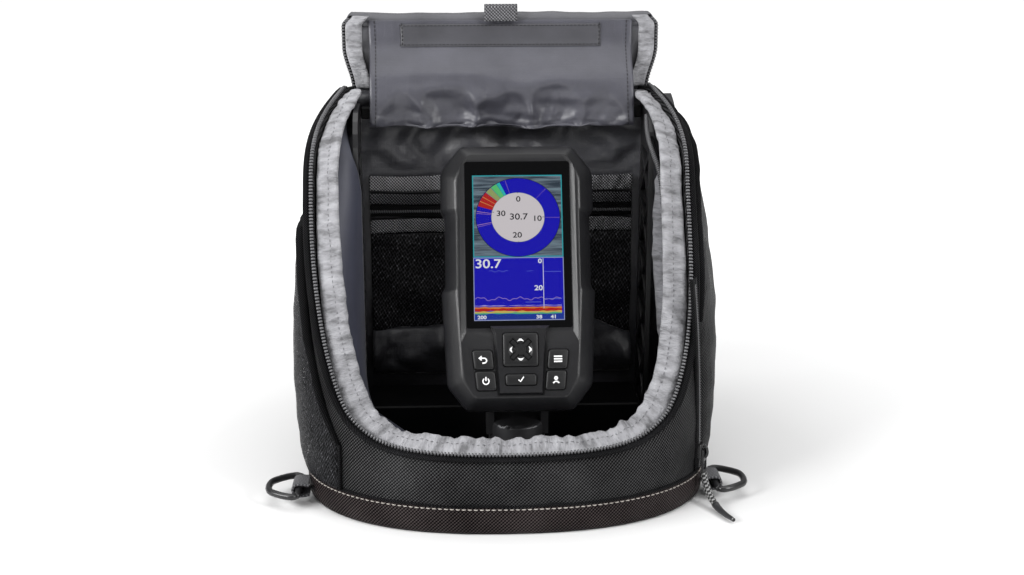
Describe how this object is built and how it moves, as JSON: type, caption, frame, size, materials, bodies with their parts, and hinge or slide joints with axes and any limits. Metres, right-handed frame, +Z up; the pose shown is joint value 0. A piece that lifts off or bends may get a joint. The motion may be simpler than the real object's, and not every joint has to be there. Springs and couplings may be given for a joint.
{
  "type": "portable fish finder",
  "caption": "Sonar fish finder display on a tilt and swivel mount, carried with its battery and frame inside an open soft bag.",
  "frame": {"origin": "on the ground under the middle of the bag, on the swivel mount's left-right centre line", "axes": "+Z up, the opening and the display face -Y, +X is the viewer's right"},
  "size_m": [0.32, 0.263, 0.309],
  "materials": {
    "boot_nylon": "coarse woven, brown-black",
    "black_nylon": "woven ballistic nylon",
    "pocket_mesh": "open mesh",
    "grey_lining": "silky grey lining",
    "pale_trim": "padded grey binding",
    "zip_black": "moulded coil and tape",
    "grey_webbing": "woven webbing",
    "pull_cord": "braided cord, grey and black",
    "ring_plastic": "moulded",
    "zip_metal": "black enamel",
    "frame_plastic": "injection moulded black",
    "mount_plastic": "gloss black",
    "knob_plastic": "fluted black",
    "case_plastic": "fine texture, dark grey-black",
    "key_rubber": "silicone rubber, white symbols",
    "screen_glass": "clear cover lens with black border",
    "lcd": "lit display",
    "board": "solder mask",
    "seal_rubber": "moulded",
    "beeper_plastic": "moulded",
    "battery_case": "moulded",
    "terminal_brass": "plain",
    "screw_steel": "stainless"
  },
  "bodies": {
    "bag": {"base_boot": "boot_nylon", "side_panel_left": "black_nylon", "side_panel_right": "black_nylon", "front_panel": "black_nylon", "back_panel": "black_nylon", "side_pocket": "black_nylon", "mesh_pocket": "pocket_mesh", "back_wall_pocket": "grey_lining", "opening_trim": "pale_trim", "opening_zip": "zip_black", "side_pocket_zip": "zip_black", "ring_tab_left": "grey_webbing", "ring_tab_right": "grey_webbing", "frame_deck": "frame_plastic", "frame_side_left": "frame_plastic", "frame_side_right": "frame_plastic", "frame_top_bar": "frame_plastic", "battery_cover": "frame_plastic", "mount_base": "mount_plastic", "battery": "battery_case", "battery_tab_positive": "terminal_brass", "battery_tab_negative": "terminal_brass", "mount_screw_1": "screw_steel", "mount_screw_2": "screw_steel", "mount_screw_3": "screw_steel"},
    "swivel": {"swivel_yoke": "mount_plastic", "tilt_bolt": "screw_steel"},
    "tilt_knob": {"tilt_knob": "knob_plastic"},
    "display": {"front_bezel": "case_plastic", "rear_housing": "case_plastic", "cable_socket": "case_plastic", "screen_glass": "screen_glass", "lcd_panel": "lcd", "circuit_board": "board", "housing_seal": "seal_rubber", "keypad_membrane": "seal_rubber", "beeper": "beeper_plastic", "housing_screw_1": "screw_steel", "housing_screw_2": "screw_steel", "housing_screw_3": "screw_steel", "housing_screw_4": "screw_steel", "cradle": "mount_plastic"},
    "lid_upper": {"lid_upper_panel": "black_nylon", "lid_pocket": "grey_lining", "lid_loop": "grey_webbing"},
    "lid_front": {"lid_front_panel": "black_nylon"},
    "zip_slider": {"side_zip_slider": "zip_metal"},
    "zip_pull": {"side_zip_pull": "zip_metal", "pull_cord": "pull_cord"},
    "ring_left": {"ring_left": "ring_plastic"},
    "ring_right": {"ring_right": "ring_plastic"},
    "back_key": {"back_key": "key_rubber"},
    "power_key": {"power_key": "key_rubber"},
    "menu_key": {"menu_key": "key_rubber"},
    "waypoint_key": {"waypoint_key": "key_rubber"},
    "select_key": {"select_key": "key_rubber"},
    "direction_pad": {"direction_pad": "key_rubber"}
  },
  "joints": [
    {"name": "swivel_turn", "type": "hinge", "parent": "bag", "child": "swivel", "pos_m": [0.0073, -0.0031, 0.071], "axis": [0, 0, 1], "range_deg": [-22, 22]},
    {"name": "display_tilt", "type": "hinge", "parent": "swivel", "child": "display", "pos_m": [0.0073, -0.0031, 0.071], "axis": [-1, 0, 0], "range_deg": [-24, 8]},
    {"name": "tilt_knob_turn", "type": "hinge", "parent": "swivel", "child": "tilt_knob", "pos_m": [0.0073, -0.0031, 0.071], "axis": [1, 0, 0], "range_deg": [-180, 180]},
    {"name": "lid_lift", "type": "hinge", "parent": "bag", "child": "lid_upper", "pos_m": [0, 0.078, 0.257], "axis": [1, 0, 0], "range_deg": [0, 90], "deforming": ["lid_pocket"]},
    {"name": "lid_fold", "type": "hinge", "parent": "lid_upper", "child": "lid_front", "pos_m": [0, 0.083, 0.3], "axis": [1, 0, 0], "range_deg": [0, 217], "deforming": ["lid_loop"]},
    {"name": "side_zip_slide", "type": "slide", "parent": "bag", "child": "zip_slider", "axis": [-0.0233, 0, 0.9997], "range_m": [0, 0.085]},
    {"name": "zip_pull_swing", "type": "hinge", "parent": "zip_slider", "child": "zip_pull", "pos_m": [0.12667, -0.04329, 0.035], "axis": [-0.4783, -0.8782, 0], "range_deg": [0, 75]},
    {"name": "ring_left_swing", "type": "hinge", "parent": "bag", "child": "ring_left", "pos_m": [-0.1356, -0.0315, 0.01], "axis": [0, 1, 0], "range_deg": [-15, 75]},
    {"name": "ring_right_swing", "type": "hinge", "parent": "bag", "child": "ring_right", "pos_m": [0.1356, -0.0315, 0.01], "axis": [0, -1, 0], "range_deg": [-15, 75]},
    {"name": "back_press", "type": "slide", "parent": "display", "child": "back_key", "axis": [0, 0.9135, -0.4067], "range_m": [0, 0.0008], "stiffness_N_per_m": 600, "springref_m": -0.0005},
    {"name": "power_press", "type": "slide", "parent": "display", "child": "power_key", "axis": [0, 0.9135, -0.4067], "range_m": [0, 0.0008], "stiffness_N_per_m": 600, "springref_m": -0.0005},
    {"name": "menu_press", "type": "slide", "parent": "display", "child": "menu_key", "axis": [0, 0.9135, -0.4067], "range_m": [0, 0.0008], "stiffness_N_per_m": 600, "springref_m": -0.0005},
    {"name": "waypoint_press", "type": "slide", "parent": "display", "child": "waypoint_key", "axis": [0, 0.9135, -0.4067], "range_m": [0, 0.0008], "stiffness_N_per_m": 600, "springref_m": -0.0005},
    {"name": "select_press", "type": "slide", "parent": "display", "child": "select_key", "axis": [0, 0.9135, -0.4067], "range_m": [0, 0.0008], "stiffness_N_per_m": 600, "springref_m": -0.0005},
    {"name": "direction_press", "type": "slide", "parent": "display", "child": "direction_pad", "axis": [0, 0.9135, -0.4067], "range_m": [0, 0.0008], "stiffness_N_per_m": 600, "springref_m": -0.0005}
  ],
  "couplings": [
    {"joint": "lid_fold", "follows": "lid_lift", "ratio": 2.4111}
  ]
}
